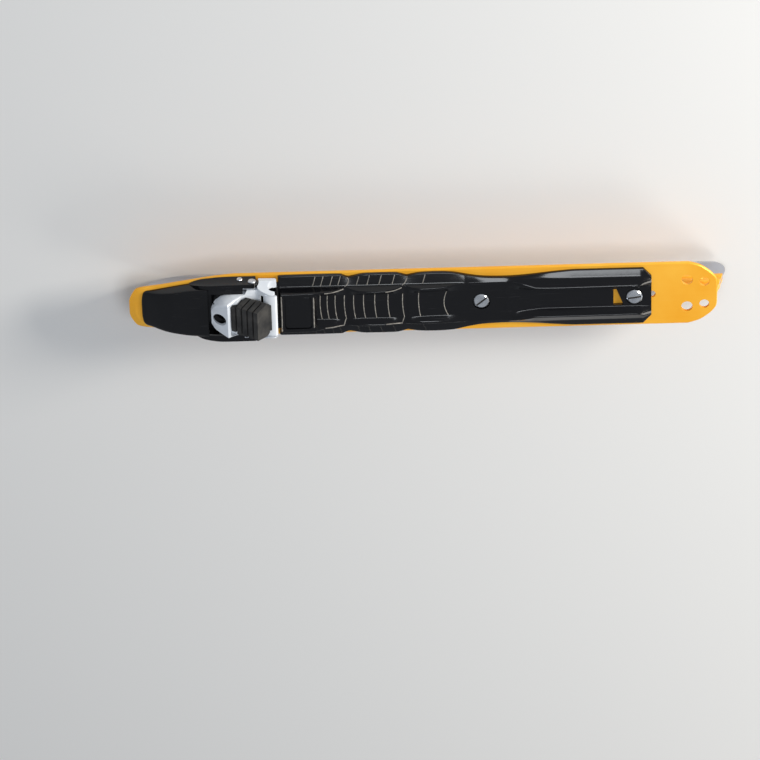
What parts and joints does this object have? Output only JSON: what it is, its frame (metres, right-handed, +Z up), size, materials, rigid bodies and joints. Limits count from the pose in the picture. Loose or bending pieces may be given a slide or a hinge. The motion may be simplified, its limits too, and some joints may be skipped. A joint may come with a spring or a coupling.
{
  "type": "nordic ice skate",
  "caption": "Touring ice skate for a cross-country boot: long steel blade in an aluminium holder, toe binding with a pole-pressed lever, and a ribbed boot guide plate.",
  "frame": {"origin": "on the blade's running edge, at mid-thickness, half way between the toe end and the heel end of the whole skate", "axes": "+X from toe to heel, +Y across, +Z up from the ice"},
  "size_m": [0.4532, 0.0534, 0.0789],
  "materials": {
    "orange_anodised": "orange anodised, satin",
    "orange_rivet": "orange anodised rivet heads",
    "blade_steel": "ground, satin",
    "zinc_plate": "zinc plated",
    "black_gloss_plastic": "moulded, glossy",
    "white_plastic": "moulded, half gloss",
    "black_rubber": "moulded, matt"
  },
  "bodies": {
    "skate": {"holder_profile": "orange_anodised", "steel_blade": "blade_steel", "blade_rivet_1": "orange_rivet", "blade_rivet_2": "orange_rivet", "blade_rivet_3": "orange_rivet", "blade_rivet_4": "orange_rivet", "binding_housing": "black_gloss_plastic", "pivot_bracket": "blade_steel", "lever_axle": "blade_steel", "stop_pin": "blade_steel", "return_spring": "blade_steel", "guide_plate": "black_gloss_plastic", "screw_cover": "black_gloss_plastic", "front_bolt": "zinc_plate", "middle_bolt": "zinc_plate", "rear_bolt": "zinc_plate", "wing_bolt_left": "zinc_plate", "wing_bolt_right": "zinc_plate", "front_nut": "zinc_plate", "middle_nut": "zinc_plate", "rear_nut": "zinc_plate", "wing_nut_left": "zinc_plate", "wing_nut_right": "zinc_plate"},
    "lever": {"jaw_lever": "white_plastic", "flexor": "black_rubber"}
  },
  "joints": [
    {"name": "lever_pivot", "type": "hinge", "parent": "skate", "child": "lever", "pos_m": [-0.13297, 0, 0.0529], "axis": [0, -1, 0], "range_deg": [0, 14], "stiffness_Nm_per_rad": 1, "springref_deg": -11.46, "deforming": ["return_spring"]}
  ]
}
